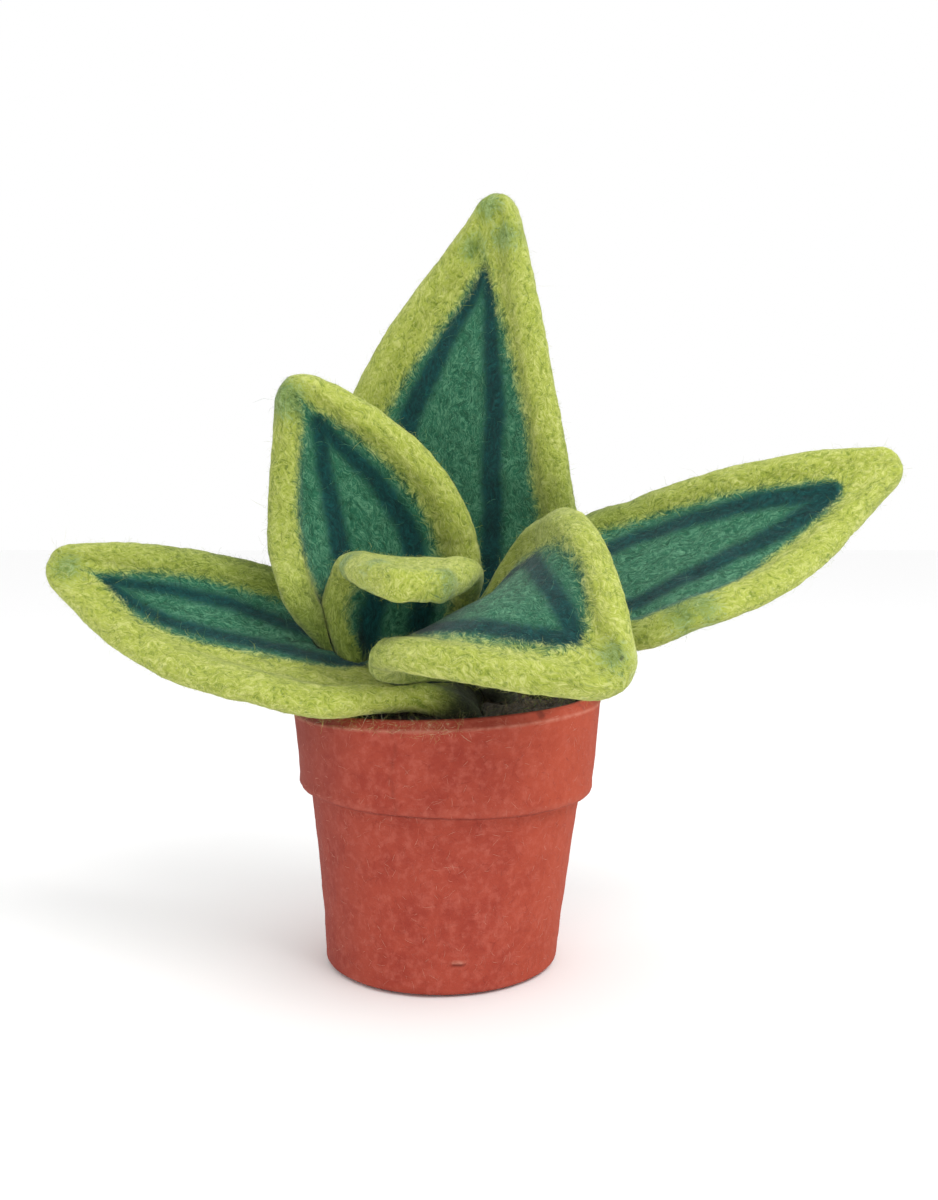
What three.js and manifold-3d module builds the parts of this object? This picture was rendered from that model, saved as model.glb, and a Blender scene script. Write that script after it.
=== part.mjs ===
// A needle-felted wool plant in a small pot of handmade paper.
// Six variegated leaves stand in a plug of dark felt that fills the pot as its soil.
// Millimetres, +Z up. The origin is the centre of the pot's base.
// +X runs along the two long side leaves, and the open leaves face -Y.

import * as THREE from 'three';
import { LoftGeometry } from 'three/addons/geometries/LoftGeometry.js';
import { mergeVertices } from 'three/addons/utils/BufferGeometryUtils.js';
import Module from 'manifold-3d';

// Pot of moulded paper, with a wide band round its mouth
const BASE_RADIUS = 29.1;
const BASE_CORNER = 1.6;
const BODY_TOP_RADIUS = 33.2;
const BODY_TOP_HEIGHT = 40.6;
const BAND_LOW_RADIUS = 36.3;
const BAND_LOW_HEIGHT = 43.2;
const BAND_CORNER = 3.5;
const BAND_TOP_RADIUS = 38.1;
const BAND_TOP_HEIGHT = 63.5;
const RIM_BEVEL = 2.2;
const RIM_INNER_EASE = 0.3;
const BODY_BULGE = 1.3;
const STEP_REACH = 1.5;
const WALL = 2.1;
const FLOOR = 2.4;
const POT_SIDES = 44;
const CURVE_DIVISIONS = 3;

// The pot stands a little crooked, as hand-made ones do: all as rise over run
const LEAN = 0.026;
const BAND_LOW_TILT = -0.026;
const BAND_TOP_TILT = 0.039;

// Plug of dark felt
const SOIL_EDGE_HEIGHT = 62.6;
const SOIL_CROWN_HEIGHT = 65.0;
const SOIL_CROWN_RADIUS = 20;
const SOIL_BUMP = 0.35;
const SOIL_BUMP_PITCH = 7;
const SOIL_BUMP_DEPTH = 2;
const SOIL_RINGS = [ 0.93, 0.75, 0.55, 0.35, 0.16, 0 ];
const GAP = 0.45;
const PRESS_GAP = 0.7;
const MERGE_DISTANCE = 1e-4;

// Cross-section of a felt leaf: a puffy margin round a thinner, sunken field
const TIP_RADIUS = 3.8;
const MARGIN_HALF_WIDTH = 5.2;
const MARGIN_FRONT = 3.8;
const MARGIN_BACK = 3.6;
const FIELD_FRONT = 1.8;
const FIELD_BACK = 3.0;
const FIELD_SLOPE = 5.0;
const FULL_SECTION = 14;
const NARROW_SCALE = 0.35;
const EDGE_STEPS = [ 0, 0.45, 1.8, MARGIN_HALF_WIDTH, 11.2 ];
const FOOT_ROUNDING = 3;
const FOOT_CAP_RISE = 0.15;
const FOOT_END_WIDTH = 0.7;
const FOOT_SECTION_PLACES = [ 0, 0.6, 2 ];
const FIRST_FULL_SECTION = 4;
const LEAF_SECTIONS = 21;
const TIP_SECTIONS = 3;

// Each leaf has the control points of its midline from foot to tip, the way its upper face
// looks at its foot, middle and tip, half widths, the shares of its length, from the tip, at
// which it is widest and has narrowed to its neck, and the radius of its cupping on each side.
const LEAVES = [
	{
		name: 'leaf_front_right',
		path: [ [ 15, -5, 51 ], [ 1, -2.5, 86 ], [ 10, -15, 86.5 ], [ 6.5, -41.5, 105.5 ], [ 38, -61.5, 76.5 ] ],
		face: [ [ -0.45, -0.55, 0.5 ], [ -0.385, -0.165, 0.935 ], [ -0.5, -0.6, 0.7 ] ],
		halfWidth: 30,
		neckHalfWidth: 11,
		footHalfWidth: 7.5,
		widestAt: 0.54,
		neckAt: 0.75,
		taper: 0.97,
		cupLeft: 40,
		cupRight: 900,
		color: 0x7fae58,
	},
	{
		name: 'leaf_inner_curled',
		path: [ [ -5, -12, 51 ], [ -26, -14, 85 ], [ 6, -8, 106 ], [ -12, -23, 98 ], [ -2.5, -47.5, 95.5 ] ],
		face: [ [ 0.45, -0.95, 0.1 ], [ 0.05, -0.85, -0.25 ], [ -0.05, 0.1, -0.95 ] ],
		halfWidth: 18,
		neckHalfWidth: 11,
		footHalfWidth: 7.5,
		widestAt: 0.52,
		neckAt: 0.72,
		taper: 0.7,
		cupLeft: 400,
		cupRight: 245,
		color: 0x7fae58,
	},
	{
		name: 'leaf_upright_left',
		path: [ [ -14, -3, 50 ], [ -11.5, -9, 72.5 ], [ -17, 6, 99.5 ], [ -19.5, -5, 118.5 ], [ -36, -11, 143 ] ],
		face: [ [ 0.6, -0.9, 0.2 ], [ 0.35, -0.75, 0.15 ], [ 0, -1.15, 0 ] ],
		halfWidth: 28,
		neckHalfWidth: 12,
		footHalfWidth: 8,
		widestAt: 0.53,
		neckAt: 0.82,
		taper: 1.04,
		cupLeft: 40,
		cupRight: 45,
		color: 0x7fae58,
	},
	{
		name: 'leaf_right',
		path: [ [ 23, 5, 51 ], [ 17.5, 3, 110.5 ], [ 53, -3.5, 80.5 ], [ 75.5, 3, 110.5 ], [ 115, 5, 123.5 ] ],
		face: [ [ -1, -0.7, 0.5 ], [ -0.4, -0.8, 1.1 ], [ 0.05, -1.1, 0.4 ] ],
		halfWidth: 27,
		neckHalfWidth: 10,
		footHalfWidth: 8,
		widestAt: 0.58,
		neckAt: 0.75,
		taper: 1.03,
		cupLeft: 155,
		cupRight: 140,
		color: 0x7fae58,
	},
	{
		name: 'leaf_tall_back',
		path: [ [ 0, 21, 50 ], [ 13, 21, 87.5 ], [ -11, 20, 119 ], [ 9.5, 18.5, 152.5 ], [ 15, 17, 192.5 ] ],
		face: [ [ 0.2, -1, 0.1 ], [ -0.35, -0.95, 0.1 ], [ -0.3, -0.95, 0.35 ] ],
		halfWidth: 34.5,
		neckHalfWidth: 14,
		footHalfWidth: 11,
		widestAt: 0.6,
		neckAt: 0.85,
		taper: 1.06,
		cupLeft: 110,
		cupRight: 140,
		color: 0x7fae58,
	},
	{
		name: 'leaf_low_left',
		path: [ [ 5, -9, 51 ], [ 12, -19, 79 ], [ -2, -29, 68.5 ], [ -30, -8.5, 73.5 ], [ -95.5, -5, 99.5 ] ],
		face: [ [ 0.8, -0.2, 0.4 ], [ -0.1, -0.5, 1 ], [ -0.15, -1, 0.3 ] ],
		halfWidth: 23,
		neckHalfWidth: 10,
		footHalfWidth: 6.5,
		widestAt: 0.61,
		neckAt: 0.8,
		taper: 0.86,
		cupLeft: 165,
		cupRight: 55,
		color: 0x7fae58,
	},
];

const POT_COLOUR = 0xb44e3c;
const SOIL_COLOUR = 0x2b2622;

const wasm = await Module();
wasm.setup();

// A Bezier curve with any number of control points
class BezierPath extends THREE.Curve {

	constructor( points ) {

		super();
		this.points = points.map( ( point ) => new THREE.Vector3( ...point ) );

	}

	getPoint( t, target = new THREE.Vector3() ) {

		let points = this.points;

		while ( points.length > 1 ) {

			const ends = points;
			points = ends.slice( 1 ).map( ( end, i ) => ends[ i ].clone().lerp( end, t ) );

		}

		return target.copy( points[ 0 ] );

	}

}

// Rises from 0 to 1 as a quarter circle does
function dome( x ) {

	const rest = 1 - THREE.MathUtils.clamp( x, 0, 1 );
	return Math.sqrt( 1 - rest * rest );

}

// Falls from one width to another along half a cosine wave
function taperBetween( from, to, x ) {

	const share = 0.5 * ( 1 + Math.cos( Math.PI * THREE.MathUtils.clamp( x, 0, 1 ) ) );
	return to + ( from - to ) * share;

}

function halfWidth( leaf, fromTip, length ) {

	const x = fromTip / length;
	const blade = leaf.halfWidth - TIP_RADIUS;
	const neck = leaf.neckHalfWidth - TIP_RADIUS;
	const foot = leaf.footHalfWidth - TIP_RADIUS;
	let width = blade * Math.sin( Math.PI / 2 * Math.min( x / leaf.widestAt, 1 ) ** leaf.taper );

	if ( x > leaf.widestAt ) {

		width = taperBetween( blade, neck, ( x - leaf.widestAt ) / ( leaf.neckAt - leaf.widestAt ) );

	}

	if ( x > leaf.neckAt ) {

		width = taperBetween( neck, foot, ( x - leaf.neckAt ) / ( 1 - leaf.neckAt ) );

	}

	return TIP_RADIUS * dome( fromTip / TIP_RADIUS ) + width;

}

// Height of the felt over the leaf's middle surface, at a distance from the leaf's edge
function feltHeight( fromEdge, margin, field, scale ) {

	const half = MARGIN_HALF_WIDTH * scale;
	const slope = THREE.MathUtils.smoothstep( fromEdge, half, half + FIELD_SLOPE * scale );
	const open = THREE.MathUtils.smoothstep( scale, NARROW_SCALE, 1 );
	return margin * dome( fromEdge / half ) - ( margin - field ) * slope * open;

}

// Distances from the foot at which a leaf has its sections
function sectionPlaces( length ) {

	const places = [ ...FOOT_SECTION_PLACES ];
	const last = length - TIP_RADIUS;

	for ( let i = 0; i < LEAF_SECTIONS; i ++ ) {

		places.push( THREE.MathUtils.lerp( FIRST_FULL_SECTION, last, i / ( LEAF_SECTIONS - 1 ) ) );

	}

	for ( let i = TIP_SECTIONS - 1; i > 0; i -- ) {

		const angle = Math.PI / 2 * i / TIP_SECTIONS;
		places.push( length - TIP_RADIUS * ( 1 - Math.cos( angle ) ) );

	}

	return places;

}

// The way the upper face looks, at a share of the length from the foot
function faceAt( leaf, share ) {

	const [ foot, middle, tip ] = leaf.face.map( ( way ) => new THREE.Vector3( ...way ) );
	return share < 0.5 ? foot.lerp( middle, share * 2 ) : middle.lerp( tip, share * 2 - 1 );

}

// One closed ring of points round a leaf: its back from right to left, then its front
function leafSection( leaf, path, place, grow ) {

	const length = path.getLength();
	const centre = path.getPointAt( place / length );
	const along = path.getTangentAt( place / length );
	centre.addScaledVector( along, place === 0 ? - grow : 0 );
	const up = faceAt( leaf, place / length );
	up.addScaledVector( along, - up.dot( along ) ).normalize();
	const across = new THREE.Vector3().crossVectors( along, up );

	const footEnd = dome( ( place + FOOT_CAP_RISE ) / FOOT_ROUNDING );
	const fullness = footEnd * dome( ( length - place ) / TIP_RADIUS );
	const width = halfWidth( leaf, length - place, length ) * THREE.MathUtils.lerp( FOOT_END_WIDTH, 1, footEnd );
	const scale = Math.min( 1, width / FULL_SECTION );

	const steps = EDGE_STEPS.map( ( step ) => step * scale );
	steps.push( ( steps[ steps.length - 1 ] + width ) / 2, width );
	const back = [ ...steps ].reverse();

	const pointAt = ( fromEdge, side, front ) => {

		const [ margin, field ] = front > 0 ? [ MARGIN_FRONT, FIELD_FRONT ] : [ MARGIN_BACK, FIELD_BACK ];
		const thick = feltHeight( fromEdge, margin, field, scale ) * fullness + grow;
		const height = fromEdge === 0 ? 0 : front * thick;
		const radius = side > 0 ? leaf.cupRight : leaf.cupLeft;
		const outward = grow * ( 1 - dome( fromEdge / ( MARGIN_HALF_WIDTH * scale ) ) );
		const angle = ( width - fromEdge + outward ) / radius;
		const x = side * ( radius - height ) * Math.sin( angle );
		const y = radius - ( radius - height ) * Math.cos( angle );
		return centre.clone().addScaledVector( across, x ).addScaledVector( up, y );

	};

	return [
		...steps.map( ( step ) => pointAt( step, 1, - 1 ) ),
		...back.slice( 1 ).map( ( step ) => pointAt( step, - 1, - 1 ) ),
		...steps.slice( 1 ).map( ( step ) => pointAt( step, - 1, 1 ) ),
		...back.slice( 1, - 1 ).map( ( step ) => pointAt( step, 1, 1 ) ),
	];

}

// A leaf as one closed solid, or the same solid grown on every side
function leafGeometry( leaf, grow = 0 ) {

	const path = new BezierPath( leaf.path );
	const places = sectionPlaces( path.getLength() );
	const sections = places.map( ( place ) => leafSection( leaf, path, place, grow ) );
	return closedMesh( new LoftGeometry( sections, { capStart: true, capEnd: true } ) );

}

// Keeps positions only, so that shared corners can be merged into one closed surface
function closedMesh( geometry ) {

	const surface = new THREE.BufferGeometry();
	surface.setAttribute( 'position', geometry.attributes.position );
	surface.setIndex( geometry.index );
	return mergeVertices( surface, MERGE_DISTANCE );

}

function toManifold( geometry ) {

	return new wasm.Manifold( new wasm.Mesh( {
		numProp: 3,
		vertProperties: new Float32Array( geometry.attributes.position.array ),
		triVerts: new Uint32Array( geometry.index.array ),
	} ) );

}

function fromManifold( solid ) {

	const { vertProperties, triVerts } = solid.getMesh();
	const geometry = new THREE.BufferGeometry();
	geometry.setAttribute( 'position', new THREE.BufferAttribute( vertProperties, 3 ) );
	geometry.setIndex( new THREE.BufferAttribute( triVerts, 1 ) );
	return geometry;

}

// Cuts a piece back wherever one of the leaves presses into it, and keeps its largest body
function clearOf( geometry, leaves, gap ) {

	let solid = toManifold( geometry );

	for ( const leaf of leaves ) {

		solid = solid.subtract( toManifold( leafGeometry( leaf, gap ) ) );

	}

	const bodies = solid.decompose().sort( ( a, b ) => b.volume() - a.volume() );
	return fromManifold( bodies[ 0 ] );

}

// How much the pot's level rings slope towards +X at a height
function tiltAt( height ) {

	if ( height < BAND_LOW_HEIGHT ) {

		return BAND_LOW_TILT * height / BAND_LOW_HEIGHT;

	}

	const share = ( height - BAND_LOW_HEIGHT ) / ( BAND_TOP_HEIGHT - BAND_LOW_HEIGHT );
	return THREE.MathUtils.lerp( BAND_LOW_TILT, BAND_TOP_TILT, Math.min( share, 1 ) );

}

// Turns a profile round the pot's axis, then gives it the pot's lean and tilt
function turned( profile, sides ) {

	const geometry = closedMesh( new THREE.LatheGeometry( profile, sides ) );
	geometry.rotateX( Math.PI / 2 );
	const position = geometry.attributes.position;

	for ( let i = 0; i < position.count; i ++ ) {

		const x = position.getX( i );
		const z = position.getZ( i );
		position.setX( i, x + LEAN * z );
		position.setZ( i, z + tiltAt( z ) * x );

	}

	return geometry;

}

function potGeometry() {

	const outline = new THREE.Path();
	outline.moveTo( 0, 0 );
	outline.lineTo( BASE_RADIUS - BASE_CORNER, 0 );
	outline.quadraticCurveTo( BASE_RADIUS, 0, BASE_RADIUS, BASE_CORNER );
	outline.quadraticCurveTo( BASE_RADIUS + BODY_BULGE, BODY_TOP_HEIGHT / 2, BODY_TOP_RADIUS, BODY_TOP_HEIGHT );
	outline.quadraticCurveTo( BODY_TOP_RADIUS, BAND_LOW_HEIGHT, BODY_TOP_RADIUS + STEP_REACH, BAND_LOW_HEIGHT );
	outline.quadraticCurveTo( BAND_LOW_RADIUS, BAND_LOW_HEIGHT, BAND_LOW_RADIUS, BAND_LOW_HEIGHT + BAND_CORNER );
	outline.lineTo( BAND_TOP_RADIUS, BAND_TOP_HEIGHT );
	outline.lineTo( BAND_TOP_RADIUS - RIM_BEVEL, BAND_TOP_HEIGHT + RIM_BEVEL );
	const inner = insideProfile( 0 ).reverse();
	inner.forEach( ( point ) => outline.lineTo( point.x, point.y ) );
	return turned( outline.getPoints( CURVE_DIVISIONS ), POT_SIDES );

}

// The pot's inner wall from the middle of its floor upwards, drawn in by a gap
function insideProfile( gap ) {

	return [
		new THREE.Vector2( 0, FLOOR + gap ),
		new THREE.Vector2( BASE_RADIUS - WALL - gap, FLOOR + gap ),
		new THREE.Vector2( BODY_TOP_RADIUS - WALL - gap, BODY_TOP_HEIGHT ),
		new THREE.Vector2( BAND_LOW_RADIUS - WALL - gap, BAND_LOW_HEIGHT + BAND_CORNER ),
		new THREE.Vector2( BAND_TOP_RADIUS - RIM_BEVEL - RIM_INNER_EASE - gap, SOIL_EDGE_HEIGHT ),
	];

}

// The plug has a low crown, and a plain hole round the foot of each leaf
function soilGeometry() {

	const profile = insideProfile( GAP );
	const edge = profile[ profile.length - 1 ].x;

	for ( const share of SOIL_RINGS ) {

		const radius = edge * share;
		const fall = THREE.MathUtils.smoothstep( radius, SOIL_CROWN_RADIUS, edge );
		const height = THREE.MathUtils.lerp( SOIL_CROWN_HEIGHT, SOIL_EDGE_HEIGHT, fall );
		profile.push( new THREE.Vector2( radius, height ) );

	}

	const geometry = turned( profile, POT_SIDES / 2 );
	const position = geometry.attributes.position;

	for ( let i = 0; i < position.count; i ++ ) {

		const z = position.getZ( i );

		if ( z > SOIL_EDGE_HEIGHT - SOIL_BUMP_DEPTH ) {

			const wave = 2 * Math.PI / SOIL_BUMP_PITCH;
			const bump = Math.sin( position.getX( i ) * wave ) * Math.cos( position.getY( i ) * wave );
			position.setZ( i, z + SOIL_BUMP * bump );

		}

	}

	return clearOf( geometry, LEAVES, GAP );

}

function addPiece( group, name, geometry, color, roughness ) {

	geometry.computeVertexNormals();
	const mesh = new THREE.Mesh( geometry, new THREE.MeshStandardMaterial( { color, roughness, metalness: 0 } ) );
	mesh.name = name;
	group.add( mesh );

}

const group = new THREE.Group();
addPiece( group, 'pot', potGeometry(), POT_COLOUR, 0.85 );
addPiece( group, 'soil', soilGeometry(), SOIL_COLOUR, 1 );

// Leaves further down the list lie under those before them, and give way to them
LEAVES.forEach( ( leaf, i ) => {

	const geometry = clearOf( leafGeometry( leaf ), LEAVES.slice( 0, i ), PRESS_GAP );
	addPiece( group, leaf.name, geometry, leaf.color, 0.95 );

} );

export default group;
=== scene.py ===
# A needle-felted wool plant in a small pot of handmade paper.
# The shapes are worked out in millimetres, in the frame of the CAD model, and turned into metres
# when a mesh is made: +Z up, +X along the two side leaves, the open leaves facing -Y.
import math

import bpy
import numpy as np
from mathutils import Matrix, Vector, noise


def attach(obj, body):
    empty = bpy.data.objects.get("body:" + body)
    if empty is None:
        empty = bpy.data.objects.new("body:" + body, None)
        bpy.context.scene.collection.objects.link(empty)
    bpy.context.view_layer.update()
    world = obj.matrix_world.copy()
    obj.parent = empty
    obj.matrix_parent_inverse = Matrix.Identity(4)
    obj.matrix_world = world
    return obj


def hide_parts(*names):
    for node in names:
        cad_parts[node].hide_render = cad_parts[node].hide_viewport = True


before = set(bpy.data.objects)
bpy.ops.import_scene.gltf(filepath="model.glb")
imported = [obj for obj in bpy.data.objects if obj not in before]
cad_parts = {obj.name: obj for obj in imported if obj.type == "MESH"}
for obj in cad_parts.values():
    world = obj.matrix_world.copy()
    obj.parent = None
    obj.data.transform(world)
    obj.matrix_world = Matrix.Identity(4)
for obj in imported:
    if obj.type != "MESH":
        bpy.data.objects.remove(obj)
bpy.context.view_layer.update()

MM = 0.001
SEED = 7

# Pot: the profile of the CAD model, with its lean and its sloping band
BASE_RADIUS = 29.1
BASE_CORNER = 1.6
BODY_TOP_RADIUS = 33.2
BODY_TOP_HEIGHT = 40.6
BODY_BULGE = 1.3
STEP_REACH = 1.5
BAND_LOW_RADIUS = 36.3
BAND_LOW_HEIGHT = 43.2
BAND_CORNER = 3.5
BAND_TOP_RADIUS = 38.1
BAND_TOP_HEIGHT = 63.5
RIM_BEVEL = 2.2
RIM_INNER_EASE = 0.3
INNER_TOP_HEIGHT = 62.6
POT_WALL = 2.1
POT_FLOOR = 2.4
LEAN = 0.026
BAND_LOW_TILT = -0.026
BAND_TOP_TILT = 0.039

# Fineness of the pot's mesh
POT_STEPS_ROUND = 300
POT_STEP = 0.7
POT_HIDDEN_STEP = 2.0
POT_CENTRE_RADIUS = 0.5

# Relief of the pot's paper: lumps as rise and pitch, pleats as rise, pitch and how drawn out they are
PAPER_LUMPS = ((0.3, 16.0), (0.16, 5.0), (0.06, 1.6))
PAPER_PLEATS = (0.22, 6.0, 0.2)
PLEAT_SHIFT = 5.0
BASE_CLEARANCE = 0.1
FLAT_BASE_HEIGHT = 1.2

# The lap seam down the front of the band. Ridges here and below: amount, place and half width
SEAM_X = -10.0
SEAM_STEP = 0.3
SEAM_STEP_WIDTH = 0.5
SEAM_RUN_OUT = 9.0
SEAM_WANDER = 0.5
SEAM_WAVES = 0.45
SEAM_FOOT = 1.5
SEAM_TOP = BAND_TOP_HEIGHT + 0.6
SEAM_HEAD = 0.8
# The painted shade along the seam's crease
SEAM_CREASE = (0.3, 0.0, 0.28)

# The lower edge of the band, with painted shadow in the crease under it
LIP_SWELL = (0.35, 44.4, 1.3)
LIP_WORN = (0.1, 44.4, 0.6)
LIP_CREASE = (1.0, BAND_LOW_HEIGHT - 0.15, 0.4)
LIP_CREASE_BEHIND = 0.3
LIP_CREASE_IN_FRONT = 0.5

# The rim: its worn edge, and a fold of doubled paper, placed by its turn round the pot, with painted
# shade in the creases at the fold's ends
RIM_WORN = (0.5, BAND_TOP_HEIGHT, 0.3)
FOLD_TURNS = (0.62, 1.02)
FOLD_RISE = 0.55
FOLD_EDGE = 0.012
FOLD_LOW_EDGE = 0.35
FOLD_LOW_SOFTNESS = 0.3
FOLD_CREASES = ((0.8, FOLD_TURNS[0], 0.016), (0.8, FOLD_TURNS[1], 0.012))

# The small curved wrinkle near the base: its middle and half length, and its ridges, one of them the
# painted shade in its crease
CRESCENT_X = 4.4
CRESCENT_HEIGHT = 8.0
CRESCENT_REACH = 2.2
CRESCENT_BEND = 0.06
CRESCENT_END = 1.2
CRESCENT_RISE = (0.5, 0.2, 0.4)
CRESCENT_CREASE = (0.7, -0.45, 0.3)
CRESCENT_WORN = (0.8, 0.25, 0.3)

# Fibres in the pot's paper, and lint from the leaves on its rim
PAPER_FIBRES = 3600
PAPER_SPREAD = 2.0
PAPER_BEND = 0.12
PAPER_LENGTHS = (0.8, 2.6)
RIM_LINT = 420
LINT_DEPTH = 1.0
LINT_REACH = 6.0
LINT_BEHIND = 0.15
LINT_LENGTH = 3.8
LINT_STEEPEST = 0.9

# Soil felt
SOIL_VOXEL = 1.0
SOIL_TOP = 60.0
SOIL_TOP_DEPTH = 2.0
SOIL_UPWARD = 0.3
SOIL_UPWARD_SOFTNESS = 0.4
SOIL_LUMPS = ((0.7, 5.5), (0.45, 1.8))
SOIL_LUMP_SHIFT = 3.0
SOIL_FIBRES = 8000
SOIL_FIBRE_WIDTH = 0.13
SOIL_FIBRE_LENGTH = 3.4
SOIL_STEEPEST = 2.0
SOIL_GROWN = 0.6
SOIL_SEEN = 16.0
SOIL_OLIVE_SHARE = 0.1

# Leaf cross-section, as in the CAD model
TIP_RADIUS = 3.8
MARGIN_HALF_WIDTH = 5.2
MARGIN_FRONT = 3.8
MARGIN_BACK = 3.6
FIELD_FRONT = 1.8
FIELD_BACK = 3.0
FIELD_SLOPE = 5.0
FIELD_OPENS = 0.35
FULL_SECTION = 14.0
SMALLEST_SCALE = 1e-4
FOOT_ROUNDING = 3.0
FOOT_START = 0.15
FOOT_WIDTH = 0.7
FOOT_SWELL = 0.3

# Fineness of the leaf meshes: along the leaf, round its edges, over its faces and round its tip
RING_STEP = 0.75
EDGE_STEPS = 12
FACE_STEPS = 28
TIP_RINGS = 9
MIDLINE_STEPS = 400
FOOT_RINGS = (0, 0.3, 0.8, 1.4)
FIRST_STEP = 2.0
LAST_ANGLE = 0.06

# Needle felting: pits where the needle went in, and lumps between them
PIT_PITCH = 1.75
PIT_REACH = 0.32
PIT_DEPTH = 0.32
LUMP_HEIGHT = 0.3
LUMP_PITCH = 7.0
GRAIN_HEIGHT = 0.13
GRAIN_PITCH = 2.4
GRAIN_SHIFT = 31.7
CALM_TIP = 2.0
CALM_SHARE = 0.4

# Wool fibres as thin ribbons, by the square millimetre
FIBRE_WIDTH = 0.05
RIBBON_END = 0.25
LYING_SEGMENTS = 3
LYING_DENSITY = 0.72
LYING_WIDTHS = (0.7, 1.4)
LYING_LIFT = 0.22
LEAST_LIFT = 0.03
SKIN_CLEARANCE = 0.02
SMALLEST_CELL = 0.05
ROW_LEAP = 6
COLUMN_LEAP = 8
LOOSE_SEGMENTS = 2
LOOSE_DENSITY = 0.85
# Loose fibres are made brighter than the skin's: painted light on the fuzz
LOOSE_PAINTED_LIGHT = 1.08
FLYAWAY_DENSITY = 0.05
FLYAWAY_LENGTH = 5.5
TUFT_LENGTH = 2.4
TUFT_SHORTEST = 0.5
TUFT_STEEPEST = 1.3
TUFT_FLATTEST = 0.3
TUFT_CURL = 0.4
TUFT_DROOP = 0.45
TUFT_ROLL = 0.8
TUFT_ROOT = 0.05
TUFT_WIDTHS = (0.5, 0.9)

# Wool colours, as sRGB bytes: dark, middle and light
DARK, MIDDLE, LIGHT = 0, 1, 2
YELLOW_WOOL = ((114, 134, 44), (167, 178, 72), (214, 217, 138))
# Olive wool: painted shade on the leaf margins where they lie in shade, and real olive fibres in the
# soil
OLIVE_WOOL_AND_PAINTED_SHADE = ((44, 62, 22), (84, 106, 38), (130, 150, 66))
GREEN_WOOL = ((18, 70, 50), (38, 101, 74), (110, 166, 130))
TEAL_WOOL = ((1, 34, 36), (2, 55, 54), (16, 84, 82))
# The dark wool at the leaves' feet is painted shade, down in the crowded middle of the plant
PAINTED_FOOT_SHADE = ((22, 24, 16), (40, 44, 26), (84, 92, 50))
SOIL_WOOL = ((20, 14, 8), (46, 35, 20), (116, 98, 68))
LINT_WOOL = ((150, 150, 84), (196, 190, 130), (220, 214, 178))

# How the fibres take those colours: the shares that are dark or at most middle, how far each fibre
# keeps its own shade, and how widely a marking's edge is mixed
DARK_SHARE = 0.3
MIDDLE_SHARE = 0.75
OWN_SHADE = 0.6
BRIGHTNESS = (0.85, 1.15)
MARGIN_MIXING = 3.6
MARK_MIXING = 2.8
FIBRE_SPOTS = 0.6

# The felt's texture. Noises: scale, detail and roughness. Streaks: turn in degrees, length and width
CURVING = (0.22, 2.0)
CURVING_REACH = 7.0
PATCHES = (0.2, 3.0, 0.6)
FIBRE_STREAKS = ((8, 2.8, 0.19), (48, 2.0, 0.16), (-40, 2.3, 0.18))
LOCK_STREAKS = ((10, 9.0, 1.1), (40, 5.0, 0.7), (-32, 6.0, 0.8))
STREAK_NOISE = (1.0, 2.0, 0.55)
STREAK_RANGE = (0.32, 0.72)
CROSSING_SHARE = 0.45
LOCKS_IN_TONE = 0.6
LOCKS_IN_WISPS = 0.5
WISPS = (0.4, 2.0)
WISPS_SHARE = 0.3
FELT_BUMP = (0.22, 0.6)

# A wool's colour in layers over its dark shade: what drives each layer, its ramp and its shade
WOOL_LAYERS = [
    ("tone", (0.2, 0.5, 0.15, 1.0), MIDDLE),
    ("tone", (0.48, 0.85, 0.0, 0.6), LIGHT),
    ("fibres", (0.45, 0.95, 0.0, 0.6), LIGHT),
    ("fibres", (0.0, 0.42, 0.5, 0.0), DARK),
]

# Markings on the felt: how ragged their edges are, and the needle's pits and dashes, darkened with
# painted shade
RAGGED = {"stripe": 3.5, "margin": 4.5, "spot": 6.0}
EDGE_RANGE = (-1.4, 1.4)
SPOT_SHARE = 0.5
PIT_RAMP = (0.2, 0.9, 0.0, 0.6)
PIT_PAINTED_SHADE = (0.4, 0.5, 0.42, 1.0)
DASH_TURN = 20
DASH_SIZES = (2.3, 1.2, 1.0)
DASH_RAMP = (0.08, 0.3, 0.65, 0.0)

# Paper colours, its noises, and its colour in layers over the dark one. The orange and greyed colours
# are painted light on the pot's right side and painted shade on its left
PAPER_DARK = (146, 52, 40)
PAPER = (165, 69, 52)
PAPER_PALE = (184, 94, 78)
PAPER_PAINTED_LIGHT = (176, 76, 48)
PAPER_PAINTED_SHADE = (130, 64, 56)
# The dark of the creases: painted shade
PAPER_CREASE_SHADE = (86, 32, 24)
PAPER_WORN = (206, 138, 118)
PAPER_PULP = (PAPER_DARK, PAPER_PALE, PAPER_WORN)
PAPER_NOISES = {"clouds": (0.13, 4.0, 0.62), "mottle": (0.5, 3.0, 0.6), "pulp": (2.6, 3.0, 0.65)}
PAPER_LAYERS = [
    ("clouds", (0.3, 0.62, 0.3, 1.0), PAPER),
    ("mottle", (0.42, 0.75, 0.0, 0.6), PAPER_PALE),
    # By the pot's x: painted light on its right side and painted shade on its left
    ("across", (8.0, 36.0, 0.0, 0.6), PAPER_PAINTED_LIGHT),
    ("across", (-14.0, -36.0, 0.0, 0.65), PAPER_PAINTED_SHADE),
    ("pulp", (0.28, 0.42, 0.4, 0.0), PAPER_DARK),
    ("pulp", (0.64, 0.74, 0.0, 0.35), PAPER_WORN),
]
WORN_MOTTLE = (0.3, 0.6, 0.35, 1.0)
MOTTLE_IN_GRAIN = 0.4
PAPER_BUMP = (0.25, 0.7)

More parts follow.
